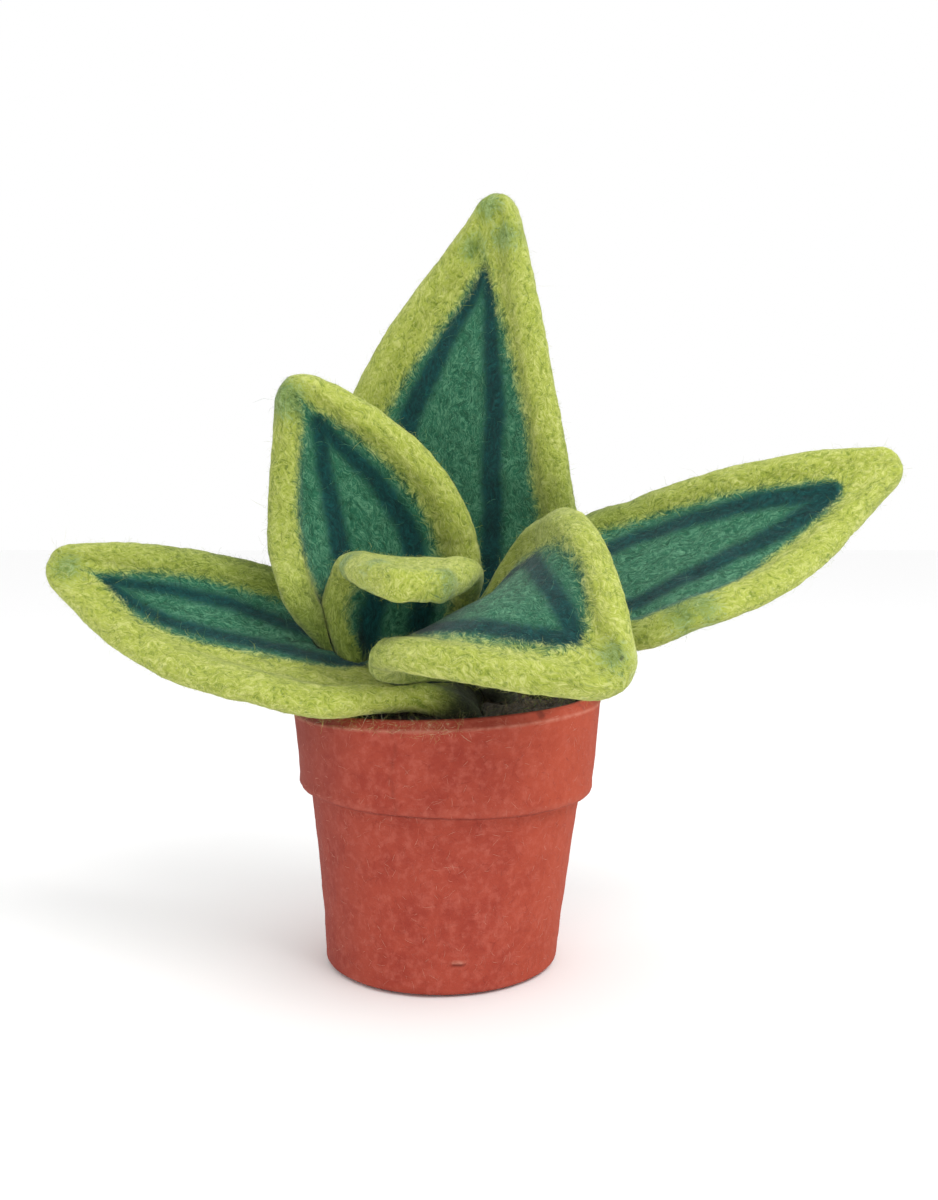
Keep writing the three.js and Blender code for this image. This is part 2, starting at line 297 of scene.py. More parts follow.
# Surfaces: the shader's own values
FELT_SURFACE = {
    "Roughness": 1.0,
    "Specular IOR Level": 0.1,
    "Sheen Weight": 0.15,
    "Sheen Roughness": 0.6,
}
FIBRE_SURFACE = {"Roughness": 0.9, "Specular IOR Level": 0.2, "Sheen Weight": 0.2}
PAPER_SURFACE = {"Roughness": 0.85, "Specular IOR Level": 0.25}
GROUND_SURFACE = {"Base Color": (0.96, 0.96, 0.96, 1.0), "Roughness": 0.9}

# Camera and studio, in metres, degrees and watts
CAMERA_PLACE = (0.0069, -0.300, 0.112)
CAMERA_DOWN = 4.3
CAMERA_LENS = 36.3
CAMERA_SENSOR = 36
CAMERA_NEAR = 0.01
SKY = {"Color": (1.0, 1.0, 1.0, 1.0), "Strength": 1.0}
GROUND_SIZE = 6
GROUND_DROP = 0.0005
LAMP_PLACE = (0.42, -0.42, 0.75)
LAMP_AIM = (0, 0, 0.09)
LAMP_SIZE = 0.45
LAMP_POWER = 3.6

# Each leaf: the CAD model's shape, with half widths of the blade, the neck and the foot, then its
# markings. A marking's places are given as the distance
# from the tip and the distance from the midline, to the right where positive. The margins' widths
# and the painted shade in them, olive where the margins lie in shade, follow the distance from the
# tip, for the left side and for the right. A leaf's "root" is how far up from the foot the painted
# shade of its dark foot reaches.
LEAVES = {
    "leaf_tall_back": {
        "path": [(0, 21, 50), (13, 21, 87.5), (-11, 20, 119), (9.5, 18.5, 152.5), (15, 17, 192.5)],
        "face": [(0.2, -1, 0.1), (-0.35, -0.95, 0.1), (-0.3, -0.95, 0.35)],
        "half_widths": (34.5, 14, 11),
        "widest_at": 0.6, "neck_at": 0.85, "taper": 1.06, "cup": (110, 140),
        "field_end": 125, "softness": 1.5,
        "margins": [
            [(18, 12.5), (28, 13.5), (39, 13), (51, 12), (58, 11), (90, 10)],
            [(18, 12.5), (31, 11), (43, 10), (55, 9), (82, 10)],
        ],
        "painted_margin_shade": [[(60, 0.1), (95, 0.7)], [(55, 0.1), (80, 0.5), (95, 0.9)]],
        "root": 27,
        "stripe_widths": (1.6, 2.9),
        "stripes": [
            [(19, 0.5), (26, -1), (35, -4.5), (43, -7), (51, -9.5), (59, -12.5), (85, -15), (120, -8)],
            [(19, 0.5), (27, 3.5), (37, 6.5), (47, 9.5), (56, 11.5), (82, 12), (120, 7)],
        ],
        "spots": [(4, -1.5, 3.2), (11, 4.5, 3.2), (15, -4, 2.8)],
    },
    "leaf_upright_left": {
        "path": [(-14, -3, 50), (-11.5, -9, 72.5), (-17, 6, 99.5), (-19.5, -5, 118.5), (-36, -11, 143)],
        "face": [(0.6, -0.9, 0.2), (0.35, -0.75, 0.15), (0, -1.15, 0)],
        "half_widths": (28, 12, 8),
        "widest_at": 0.53, "neck_at": 0.82, "taper": 1.04, "cup": (40, 45),
        "field_end": 85, "softness": 1.5,
        "margins": [
            [(13, 7.5), (26, 6.2), (38, 6.5), (60, 10), (75, 13)],
            [(13, 8.5), (26, 9.8), (43, 10), (70, 10)],
        ],
        "painted_margin_shade": [[(10, 0.2), (48, 0.3), (60, 0.75), (72, 1.0)], [(45, 0.0), (60, 0.5), (75, 1.0)]],
        "root": 27,
        "stripe_widths": (1.9, 2.9),
        "stripes": [
            [(12.5, 0.5), (18, -1.6), (23, -3.7), (33, -5.8), (45, -7.8), (75, -6)],
            [(12.5, 0.5), (18, 2), (24, 4.2), (30, 7), (36, 8.8), (41, 10.6), (47, 11.7), (75, 8)],
        ],
        "spots": [(4, -3, 4.5)],
    },
    "leaf_low_left": {
        "path": [(5, -9, 51), (12, -19, 79), (-2, -29, 68.5), (-30, -8.5, 73.5), (-95.5, -5, 99.5)],
        "face": [(0.8, -0.2, 0.4), (-0.1, -0.5, 1), (-0.15, -1, 0.3)],
        "half_widths": (23, 10, 6.5),
        "widest_at": 0.61, "neck_at": 0.8, "taper": 0.86, "cup": (165, 55),
        "field_end": 88, "softness": 1.0,
        "margins": [
            [(16, 10), (28, 8.6), (40, 10.5), (58, 14.5), (72, 17), (82, 19)],
            [(16, 9), (24, 8.3), (36, 8.3), (48, 9), (70, 9.5)],
        ],
        "painted_margin_shade": [[(100, 0.0), (116, 0.8)], [(8, 0.1), (25, 0.35), (45, 0.6), (60, 0.9)]],
        "root": 29,
        "stripe_widths": (1.5, 2.0),
        "stripes": [
            [(16, 0.2), (20, -1.9), (33, -4.7), (48, -4.3), (66, -2.8), (82, -1.8), (105, 0)],
            [(16, 0.2), (31, 3.8), (45, 6), (61, 5.9), (80, 6), (105, 5)],
        ],
        "spots": [(5.8, -0.5, 3.0)],
    },
    "leaf_right": {
        "path": [(23, 5, 51), (17.5, 3, 110.5), (53, -3.5, 80.5), (75.5, 3, 110.5), (115, 5, 123.5)],
        "face": [(-1, -0.7, 0.5), (-0.4, -0.8, 1.1), (0.05, -1.1, 0.4)],
        "half_widths": (27, 10, 8),
        "widest_at": 0.58, "neck_at": 0.75, "taper": 1.03, "cup": (155, 140),
        "field_end": 100, "softness": 1.0,
        "margins": [
            [(14, 14), (18, 9.5), (25, 9.7), (38, 9), (53, 8.8)],
            [(14, 14), (18, 8.5), (33, 9.5), (42, 10), (55, 7), (66, 5.5), (90, 6)],
        ],
        "painted_margin_shade": [[(20, 0.0), (50, 0.2), (75, 0.6)], [(60, 0.0), (90, 0.6)]],
        "root": 27,
        "stripe_widths": (2.8, 2.5),
        "stripes": [
            [(20, 0.5), (26, -1.5), (36, -5.8), (51, -9.9), (67, -12.3), (95, -9)],
            [(20, 0.5), (27, 3.2), (36.5, 5), (50, 6.1), (64, 9.1), (75, 11.8), (95, 9)],
        ],
        "spots": [(63, 23, 2.8), (68, 24, 2.8)],
    },
    "leaf_front_right": {
        "path": [(15, -5, 51), (1, -2.5, 86), (10, -15, 86.5), (6.5, -41.5, 105.5), (38, -61.5, 76.5)],
        "face": [(-0.45, -0.55, 0.5), (-0.385, -0.165, 0.935), (-0.5, -0.6, 0.7)],
        "half_widths": (30, 11, 7.5),
        "widest_at": 0.54, "neck_at": 0.75, "taper": 0.97, "cup": (40, 900),
        "field_end": 78, "softness": 2.0,
        "margins": [
            [(11, 14), (15, 10), (22, 7.5), (29, 7), (38, 9.5), (48, 13), (70, 14)],
            [(11, 14), (15, 11), (24, 10.5), (32, 10), (40, 9.5), (70, 10)],
        ],
        "painted_margin_shade": [[(25, 0.0), (38, 0.15), (60, 0.35)], [(40, 0.0), (50, 0.35), (75, 0.9)]],
        "root": 27,
        "stripe_widths": (2.3, 2.6),
        "stripes": [
            [(14.5, -0.5), (19, -3), (25.5, -5.8), (34.5, -9.1), (45, -14), (70, -10)],
            [(14.5, -0.5), (18, 2.5), (23.5, 6.0), (30, 8.7), (38.5, 12.7), (50, 17), (75, 9)],
        ],
        "spots": [(5.5, -2.5, 2.8)],
    },
    "leaf_inner_curled": {
        "path": [(-5, -12, 51), (-26, -14, 85), (6, -8, 106), (-12, -23, 98), (-2.5, -47.5, 95.5)],
        "face": [(0.45, -0.95, 0.1), (0.05, -0.85, -0.25), (-0.05, 0.1, -0.95)],
        "half_widths": (18, 11, 7.5),
        "widest_at": 0.52, "neck_at": 0.72, "taper": 0.7, "cup": (400, 245),
        "field_end": 70, "back_cap": 24, "softness": 1.3,
        "margins": [[(10, 6.5), (40, 6)]] * 2,
        "painted_margin_shade": [[(20, 0.0), (38, 0.5), (55, 0.9)]] * 2,
        "root": 27,
        "stripe_widths": (1.5, 3.1),
        "stripes": [
            [(11, 0), (20, -3), (30, -5), (45, -6), (70, -3)],
            [(11, 0), (20, 3), (30, 5), (45, 6), (70, 3)],
        ],
        "spots": [(3.5, 6, 2.6), (11, -8, 2.2), (24, -15, 3.0)],
    },
}

# How the markings run out
STRIPE_WIDENING = 40.0
SPOT_SOFTNESS = 1.6
BACK_MARGIN = 8.5
BACK_CAP_ENDS = 30.0
FIELD_CLOSING = 25.0
CLOSING_LENGTH = 12.0
# How the painted shade at the foot fades out
FOOT_SHADE_FADE = 8.0
UNMARKED = -6.0

# The leaves that each leaf is pressed against, and gives way to
PRESSED_BY = {
    "leaf_upright_left": ("leaf_inner_curled", "leaf_front_right"),
    "leaf_tall_back": ("leaf_right", "leaf_upright_left"),
    "leaf_low_left": ("leaf_front_right", "leaf_inner_curled", "leaf_upright_left"),
}
PRESS_GAP = 0.5
CUTTER_STEPS = (2.5, 6, 12, 4)
LAYER_SPREAD = 90


def smooth(x):
    x = np.clip(x, 0, 1)
    return x * x * (3 - 2 * x)


def dome(x):
    """Rises from 0 to 1 as a quarter circle does."""
    rest = 1 - np.clip(x, 0, 1)
    return np.sqrt(1 - rest * rest)


def taper_between(start, end, x):
    """Falls from one width to another along half a cosine wave."""
    share = 0.5 * (1 + np.cos(np.pi * np.clip(x, 0, 1)))
    return end + (start - end) * share


def ridge(distance, amount, place, half_width):
    """A rounded ridge of this amount at a place."""
    return amount * np.exp(-(((distance - place) / half_width) ** 2))


def unit(vectors):
    return vectors / np.maximum(np.linalg.norm(vectors, axis=-1, keepdims=True), 1e-9)


def linear(colour):
    """An sRGB colour in bytes as linear values."""
    c = np.asarray(colour, float) / 255
    return np.where(c <= 0.04045, c / 12.92, ((c + 0.055) / 1.055) ** 2.4)


def rgba(colour):
    return (*linear(colour), 1.0)


def bezier(points, t):
    """Points along a Bezier curve with any number of control points."""
    points = np.asarray(points, float)
    points = np.broadcast_to(points, (len(t), *points.shape))
    t = t[:, None, None]
    while points.shape[1] > 1:
        points = points[:, :-1] * (1 - t) + points[:, 1:] * t
    return points[:, 0]


def noise_at(points, pitch, shift=0.0):
    """Smooth noise from -1 to 1 whose bumps are about one pitch apart."""
    flat = points.reshape(-1, 3) / pitch + shift
    values = np.array([noise.noise(p) for p in flat.tolist()])
    return values.reshape(points.shape[:-1])


def pits_at(points):
    """1 at each of the needle's pits, falling to 0 round it."""
    flat = points.reshape(-1, 3) / PIT_PITCH
    near = np.array([noise.voronoi(p)[0][0] for p in flat.tolist()])
    return ridge(near, 1.0, 0.0, PIT_REACH).reshape(points.shape[:-1])


def midline(leaf):
    """Even values of a leaf's path, and the distance along it from the foot to each."""
    t = np.linspace(0, 1, MIDLINE_STEPS)
    points = bezier(leaf["path"], t)
    reach = np.r_[0, np.cumsum(np.linalg.norm(np.diff(points, axis=0), axis=1))]
    return t, reach


def half_width(leaf, from_tip, length):
    """A leaf's half width: it widens from the tip, then narrows to the neck and on to the foot."""
    x = from_tip / length
    widest, neck_at = leaf["widest_at"], leaf["neck_at"]
    blade, neck, foot = (half - TIP_RADIUS for half in leaf["half_widths"])
    width = blade * np.sin(np.pi / 2 * np.clip(x / widest, 0, 1) ** leaf["taper"])
    width = np.where(x > widest, taper_between(blade, neck, (x - widest) / (neck_at - widest)), width)
    width = np.where(x > neck_at, taper_between(neck, foot, (x - neck_at) / (1 - neck_at)), width)
    return TIP_RADIUS * dome(from_tip / TIP_RADIUS) + width


def felt_height(from_edge, margin, field, scale):
    """The felt's thickness to one side: a rounded margin that slopes down to a thinner field."""
    half = MARGIN_HALF_WIDTH * scale
    slope = smooth((from_edge - half) / (FIELD_SLOPE * scale))
    is_open = smooth((scale - FIELD_OPENS) / (1 - FIELD_OPENS))
    return margin * dome(from_edge / half) - (margin - field) * slope * is_open


def ring_places(length, step, tip_rings):
    """Distances from the foot at which the leaf has its rings, close together round the tip."""
    along = np.arange(FIRST_STEP, length - TIP_RADIUS, step)
    angle = np.linspace(np.pi / 2, LAST_ANGLE, tip_rings)
    tip = length - TIP_RADIUS * (1 - np.cos(angle))
    return np.r_[FOOT_RINGS, along, tip]


def facing(leaf, share, along):
    """The way a leaf's front looks at each share of its length, square to its midline."""
    foot, middle, tip = (np.asarray(way, float) for way in leaf["face"])
    share = 2 * share[:, None]
    up = np.where(share < 1, foot + (middle - foot) * share, middle + (tip - middle) * (share - 1))
    return unit(up - (up * along).sum(1, keepdims=True) * along)


def section(width, half, edge_steps, face_steps):
    """Places round each ring, from the right edge over the back to the left edge and over the
    front again: their distances from the edge, and their sides and faces as 1 or -1."""
    curl = 1 - np.cos(np.linspace(0, np.pi / 2, edge_steps + 1))
    spread = np.linspace(0, 1, face_steps + 1)[1:]
    steps = np.concatenate([half * curl, half + (width - half) * spread], axis=1)
    back = steps[:, ::-1]
    from_edge = np.concatenate([steps, back[:, 1:], steps[:, 1:], back[:, 1:-1]], axis=1)
    count = steps.shape[1]
    sides = np.repeat([1, -1, 1], [count, 2 * count - 2, count - 2])
    fronts = np.repeat([-1, 1], [2 * count - 1, 2 * count - 3])
    return from_edge, sides, fronts


def leaf_grid(leaf, fineness=(RING_STEP, EDGE_STEPS, FACE_STEPS, TIP_RINGS), grow=0.0):
    """The leaf's skin as rings of points from foot to tip, with where each point lies on it."""
    ring_step, edge_steps, face_steps, tip_rings = fineness
    t, reach = midline(leaf)
    length = reach[-1]
    places = ring_places(length, ring_step, tip_rings)
    from_tip = length - places
    at = np.interp(places, reach, t)
    centre = bezier(leaf["path"], at)
    along = unit(bezier(np.diff(np.asarray(leaf["path"], float), axis=0), at))
    up = facing(leaf, places / length, along)
    across = np.cross(along, up)

    foot_end = dome((places + FOOT_START) / FOOT_ROUNDING)
    fullness = (foot_end * dome(from_tip / TIP_RADIUS))[:, None]
    width = (half_width(leaf, from_tip, length) * (FOOT_WIDTH + FOOT_SWELL * foot_end))[:, None]
    scale = np.maximum(np.minimum(1, width / FULL_SECTION), SMALLEST_SCALE)
    half = MARGIN_HALF_WIDTH * scale
    from_edge, sides, fronts = section(width, half, edge_steps, face_steps)

    margin = np.where(fronts > 0, MARGIN_FRONT, MARGIN_BACK)
    field = np.where(fronts > 0, FIELD_FRONT, FIELD_BACK)
    thick = felt_height(from_edge, margin, field, scale) * fullness
    inside = dome(from_edge / half)
    height = fronts * (thick + grow * inside)

    radius = np.where(sides > 0, leaf["cup"][1], leaf["cup"][0])
    angle = (width - from_edge + grow * (1 - inside)) / radius
    x = (sides * (radius - height) * np.sin(angle))[..., None]
    y = (radius - (radius - height) * np.cos(angle))[..., None]
    return {
        "points": centre[:, None] + x * across[:, None] + y * up[:, None],
        "height": height,
        "length": length,
        "from_edge": from_edge,
        "from_tip": np.broadcast_to(from_tip[:, None], from_edge.shape),
        "aside": sides * (width - from_edge),
        "front": np.broadcast_to(fronts > 0, from_edge.shape),
        "right": np.broadcast_to(sides > 0, from_edge.shape),
    }


def grid_directions(points):
    """Unit vectors along the leaf and round it, and the outward normal, at each grid point."""
    along = np.gradient(points, axis=0)
    around = np.roll(points, -1, axis=1) - np.roll(points, 1, axis=1)
    normal = unit(np.cross(around, along))
    return unit(along), unit(around), normal


def felted(grid):
    """Gives the leaf's skin its lumps, grain and needle pits."""
    points = grid["points"]
    _, _, normal = grid_directions(points)
    pits = pits_at(points)
    relief = (
        LUMP_HEIGHT * noise_at(points, LUMP_PITCH)
        + GRAIN_HEIGHT * noise_at(points, GRAIN_PITCH, GRAIN_SHIFT)
        - PIT_DEPTH * pits
    )
    calm = CALM_SHARE + (1 - CALM_SHARE) * smooth(grid["from_tip"] / CALM_TIP)
    grid["pits"] = pits
    grid["points"] = points + normal * (relief * calm)[..., None]


def distance_to_line(from_tip, aside, line):
    """Distance from each point to a broken line, all in the leaf's flat coordinates."""
    nearest = np.full(from_tip.shape, np.inf)
    for (t0, a0), (t1, a1) in zip(line, line[1:]):
        run, rise = t1 - t0, a1 - a0
        share = ((from_tip - t0) * run + (aside - a0) * rise) / (run * run + rise * rise)
        share = np.clip(share, 0, 1)
        gap = np.hypot(from_tip - t0 - share * run, aside - a0 - share * rise)
        nearest = np.minimum(nearest, gap)
    return nearest


def by_side(grid, lines):
    """Values that follow the distance from the tip, along one line for each side of the leaf."""
    left, right = (np.interp(grid["from_tip"], *np.transpose(line)) for line in lines)
    return np.where(grid["right"], right, left)


def mark(leaf, grid):
    """How far each point lies inside the margin, a stripe and a spot, and its painted shade: olive in
    the margins and dark at the foot.
    """
    from_tip, aside = grid["from_tip"], grid["aside"]
    back_cap = leaf.get("back_cap", 0) * smooth((BACK_CAP_ENDS - from_tip) / CLOSING_LENGTH)
    margin = np.where(grid["front"], by_side(grid, leaf["margins"]), BACK_MARGIN + back_cap)
    margin = margin + FIELD_CLOSING * smooth((from_tip - leaf["field_end"]) / CLOSING_LENGTH)
    grid["margin"] = (margin - grid["from_edge"]) / leaf["softness"]
    # Painted shade: the margins go olive where they lie in shade
    grid["painted_margin_shade"] = by_side(grid, leaf["painted_margin_shade"])
    # Painted shade: dark wool at the foot, fading out towards the tip
    grid["root"] = smooth((from_tip - (grid["length"] - leaf["root"])) / FOOT_SHADE_FADE)

    low, high = leaf["stripe_widths"]
    half = low + (high - low) * smooth((from_tip - leaf["stripes"][0][0][0]) / STRIPE_WIDENING)
    stripe = np.max([half - distance_to_line(from_tip, aside, line) for line in leaf["stripes"]], axis=0)
    grid["stripe"] = np.where(grid["front"], stripe, UNMARKED)

    spots = [(r - np.hypot(from_tip - t, aside - a)) / SPOT_SOFTNESS for t, a, r in leaf["spots"]]
    grid["spot"] = np.maximum(np.max(spots, axis=0), UNMARKED)


def picked(wool, pick):
    """One of a wool's three shades for each fibre."""
    dark, middle, light = (linear(shade) for shade in wool)
    return np.where(pick < DARK_SHARE, dark, np.where(pick < MIDDLE_SHARE, middle, light))


def wool_colour(grid, i, j, rng):
    """The colour of the wool at grid places, each fibre a little different."""
    stripe, margin, painted_margin_shade, spot, root = (
        grid[key][i, j, None] for key in ("stripe", "margin", "painted_margin_shade", "spot", "root")
    )
    in_margin = smooth(0.5 + margin / MARGIN_MIXING)
    layers = [
        (smooth(0.5 + stripe / MARK_MIXING), TEAL_WOOL),
        (in_margin, YELLOW_WOOL),
        # The olive layer is painted shade in the margins
        (in_margin * painted_margin_shade, OLIVE_WOOL_AND_PAINTED_SHADE),
        (FIBRE_SPOTS * smooth(0.5 + spot / MARK_MIXING), GREEN_WOOL),
        # The root layer is painted shade at the foot
        (root, PAINTED_FOOT_SHADE),
    ]
    pick, chance = rng.random((2, len(i), 1))
    own, mean = picked(GREEN_WOOL, pick), linear(GREEN_WOOL[MIDDLE])
    for share, wool in layers:
        own = np.where(chance < share, picked(wool, pick), own)
        mean = mean * (1 - share) + linear(wool[MIDDLE]) * share
    return (own * OWN_SHADE + mean * (1 - OWN_SHADE)) * rng.uniform(*BRIGHTNESS, (len(i), 1))


def plain_colour(wool):
    """A colour rule for fibres that are all of one wool."""
    def colour_at(grid, i, j, rng):
        shade = picked(wool, rng.random((len(i), 1)))
        return shade * rng.uniform(*BRIGHTNESS, (len(i), 1))
    return colour_at


def sample(array, rows, columns):
    """Reads a grid at places between its points; columns wrap round."""
    count = array.shape[1]
    rows = np.clip(rows, 0, array.shape[0] - 1.001)
    r0 = rows.astype(int)
    c0 = np.floor(columns).astype(int)
    fr, fc = rows - r0, columns - c0
    if array.ndim == 3:
        fr, fc = fr[..., None], fc[..., None]
    c0, c1 = c0 % count, (c0 + 1) % count
    top = array[r0, c0] * (1 - fc) + array[r0, c1] * fc
    low = array[r0 + 1, c0] * (1 - fc) + array[r0 + 1, c1] * fc
    return top * (1 - fr) + low * fr


def ribbons(lines, sideways, width):
    """Thin ribbons along lines of points (fibres x points x 3), narrowing to their ends."""
    count, steps, _ = lines.shape
    narrow = np.sin(np.linspace(RIBBON_END, np.pi - RIBBON_END, steps))[None, :, None]
    offset = sideways * (width[:, None, None] * 0.5 * narrow)
    points = np.stack([lines - offset, lines + offset], axis=2).reshape(-1, 3)
    base = (np.arange(count) * steps * 2)[:, None] + np.arange(steps - 1)[None] * 2
    return points, base.reshape(-1, 1) + (0, 1, 3, 2)


def cell_areas(points):
    down = points[1:] - points[:-1]
    around = np.roll(points, -1, axis=1)[:-1] - points[:-1]
    return np.linalg.norm(np.cross(down, around), axis=2)


def random_cells(points, count, rng, where):
    """Cells of a grid picked at random by their area and by a weight."""
    area = cell_areas(points) * np.broadcast_to(where, points.shape[:2])[:-1]
    cells = rng.choice(area.size, count, p=area.ravel() / area.sum())
    return cells // area.shape[1], cells % area.shape[1]


def lying_fibres(
    grid, count, rng, colour_at=wool_colour, where=1.0, spread=0.75, bend=0.35, lengths=(2.0, 5.0)
):
    """Fibres that follow the skin, some of them lifting a little off it."""
    points = grid["points"]
    along, around, normal = grid_directions(points)
    down_step = np.linalg.norm(np.gradient(points, axis=0), axis=2)
    around_step = np.linalg.norm(np.roll(points, -1, axis=1) - points, axis=2)

    i, j = random_cells(points, count, rng, where)
    rows, columns = i + rng.random(count), j + rng.random(count)
    colour = colour_at(grid, i, j, rng)

    heading = rng.normal(0, spread, count)
    turn = rng.normal(0, bend, count)
    length = rng.uniform(*lengths, count)
    lift = LEAST_LIFT + LYING_LIFT * rng.random(count) ** 3
    step = length / LYING_SEGMENTS
    lines, sides = [], []
    for k in range(LYING_SEGMENTS + 1):
        rise = lift * math.sin(math.pi * k / LYING_SEGMENTS) + SKIN_CLEARANCE
        n = unit(sample(normal, rows, columns))
        a = sample(along, rows, columns)
        b = sample(around, rows, columns)
        lines.append(sample(points, rows, columns) + n * rise[:, None])
        sides.append(unit(b * np.cos(heading)[:, None] - a * np.sin(heading)[:, None]))
        down = step * np.cos(heading) / np.maximum(sample(down_step, rows, columns), SMALLEST_CELL)
        side = step * np.sin(heading) / np.maximum(sample(around_step, rows, columns), SMALLEST_CELL)
        rows = rows + np.clip(down, -ROW_LEAP, ROW_LEAP)
        columns = columns + np.clip(side, -COLUMN_LEAP, COLUMN_LEAP)
        heading = heading + turn
    width = FIBRE_WIDTH * rng.uniform(*LYING_WIDTHS, count)
    strips = ribbons(np.stack(lines, axis=1), np.stack(sides, axis=1), width)
    return *strips, np.repeat(colour, (LYING_SEGMENTS + 1) * 2, axis=0)


def loose_fibres(
    grid, count, rng, colour_at=wool_colour, where=1.0, longest=TUFT_LENGTH, steepest=TUFT_STEEPEST
):
    """Short curved fibres that stand off the skin of a grid as fuzz."""
    i, j = random_cells(grid["points"], count, rng, where)
    _, _, normal = grid_directions(grid["points"])
    # Painted light: the standing fibres made brighter, as fuzz catching the light
    colour = colour_at(grid, i, j, rng) * LOOSE_PAINTED_LIGHT
    return tufts(grid["points"][i, j], normal[i, j], colour, rng, longest, steepest)


def tufts(start, n, colour, rng, longest, steepest, width=FIBRE_WIDTH):
    """Curved fibres that stand off at points with these outward directions."""
    count = len(start)
    flat = unit(np.cross(n, rng.normal(0, 1, (count, 3))))
    length = TUFT_SHORTEST + (longest - TUFT_SHORTEST) * rng.random(count)[:, None] ** 2
    slope = rng.uniform(TUFT_FLATTEST, steepest, count)[:, None]
    curl = rng.normal(0, TUFT_CURL, count)[:, None]
    cross = np.cross(n, flat)
    start = start - TUFT_ROOT * n
    lines = []
    for k in range(LOOSE_SEGMENTS + 1):
        s = k / LOOSE_SEGMENTS
        rise = slope * s * (1 - TUFT_DROOP * s)
        lines.append(start + length * (flat * s + n * rise + cross * (curl * s * s)))
    lines = np.stack(lines, axis=1)
    roll = unit(cross + n * rng.normal(0, TUFT_ROLL, count)[:, None])
    sides = np.repeat(roll[:, None], LOOSE_SEGMENTS + 1, axis=1)
    strips = ribbons(lines, sides, width * rng.uniform(*TUFT_WIDTHS, count))
    return *strips, np.repeat(colour, (LOOSE_SEGMENTS + 1) * 2, axis=0)


def grid_faces(rows, columns):
    """Quads between the rings of a grid whose columns wrap round."""
    r = np.arange(rows - 1)[:, None] * columns
    c = np.arange(columns)[None]
    d = (c + 1) % columns
    return np.stack([r + c, r + d, r + columns + d, r + columns + c], axis=2).reshape(-1, 4)


def new_object(name, data):
    piece = bpy.data.objects.new(name, data)
    bpy.context.scene.collection.objects.link(piece)
    return piece


def new_mesh(name, points, quads, caps=()):
    """A mesh object in metres from millimetre points, its quads and any larger end faces."""
    mesh = bpy.data.meshes.new(name)
    mesh.from_pydata((points * MM).tolist(), [], [*quads.tolist(), *caps])
    mesh.validate()
    mesh.polygons.foreach_set("use_smooth", [True] * len(mesh.polygons))
    return new_object(name, mesh)


def set_number(piece, name, values):
    attribute = piece.data.attributes.new(name, "FLOAT", "POINT")
    attribute.data.foreach_set("value", np.asarray(values, np.float32).ravel())


def set_vector(piece, name, values):
    attribute = piece.data.attributes.new(name, "FLOAT_VECTOR", "POINT")
    attribute.data.foreach_set("vector", np.asarray(values, np.float32).ravel())


def set_colour(piece, name, values):
    attribute = piece.data.color_attributes.new(name, "FLOAT_COLOR", "POINT")
    full = np.concatenate([values, np.ones((len(values), 1))], axis=1)
    attribute.data.foreach_set("color", full.astype(np.float32).ravel())


class Nodes:
    """Short ways to build a material's node tree."""

    def __init__(self, name):
        self.material = bpy.data.materials.new(name)
        self.material.use_nodes = True
        self.tree = self.material.node_tree
        self.shader = self.tree.nodes["Principled BSDF"]

    def feed(self, node, inputs):
        """Gives a node's inputs, by name or number, plain values or what other nodes put out."""
        for key, value in inputs.items():
            if isinstance(value, bpy.types.NodeSocket):
                self.tree.links.new(value, node.inputs[key])
            else:
                node.inputs[key].default_value = value

    def add(self, kind, inputs, output=0, **settings):
        """What a new node puts out."""
        node = self.tree.nodes.new(kind)
        for key, value in settings.items():
            setattr(node, key, value)
        self.feed(node, inputs)
        return node.outputs[output]

    def attribute(self, name, output="Fac"):
        return self.add("ShaderNodeAttribute", {}, output, attribute_name=name)

    def math(self, operation, a, b):
        return self.add("ShaderNodeMath", {0: a, 1: b}, operation=operation)

    def blend(self, a, b, share):
        """A weighted mean of two numbers."""
        return self.math("ADD", self.math("MULTIPLY", a, 1 - share), self.math("MULTIPLY", b, share))

    def ramp(self, value, low, high, to_low=0.0, to_high=1.0):
        inputs = dict(enumerate((value, low, high, to_low, to_high)))
        return self.add("ShaderNodeMapRange", inputs, interpolation_type="SMOOTHSTEP")

    def mix(self, share, a, b, blend="MIX"):
        inputs = {"Factor": share, "A": a, "B": b}
        return self.add("ShaderNodeMix", inputs, "Result", data_type="RGBA", blend_type=blend)

    def layered(self, base, drivers, layers):
        """Colours over a first one, each where its driver's ramp is high."""
        colour = rgba(base)
        for driver, ramp, layer in layers:
            colour = self.mix(self.ramp(drivers[driver], *ramp), colour, rgba(layer))
        return colour

    def noise(self, vector, scale, detail, rough=0.5, output="Fac"):
        inputs = {"Vector": vector, "Scale": scale, "Detail": detail, "Roughness": rough}
        return self.add("ShaderNodeTexNoise", inputs, output)

    def stretched(self, vector, turn, sizes):
        """The vector turned about its third axis, then measured in these sizes."""
        inputs = {"Vector": vector, "Rotation": (0, 0, math.radians(turn)), "Scale": sizes}
        return self.add("ShaderNodeMapping", inputs, vector_type="TEXTURE")

    def shifted(self, vector, by, amount):
        """The vector pushed about by a colour whose middle is grey."""
        centred = self.add("ShaderNodeVectorMath", {0: by, 1: (0.5, 0.5, 0.5)}, operation="SUBTRACT")
        scaled = self.add("ShaderNodeVectorMath", {0: centred, "Scale": amount}, operation="SCALE")
        return self.add("ShaderNodeVectorMath", {0: vector, 1: scaled}, operation="ADD")

    def bump(self, height, distance_mm, strength):
        inputs = {"Strength": strength, "Distance": distance_mm * MM, "Height": height}
        self.feed(self.shader, {"Normal": self.add("ShaderNodeBump", inputs)})

    def finish(self, surface):
        """The material, with its colour and the shader's own values set."""
        self.feed(self.shader, surface)
        return self.material


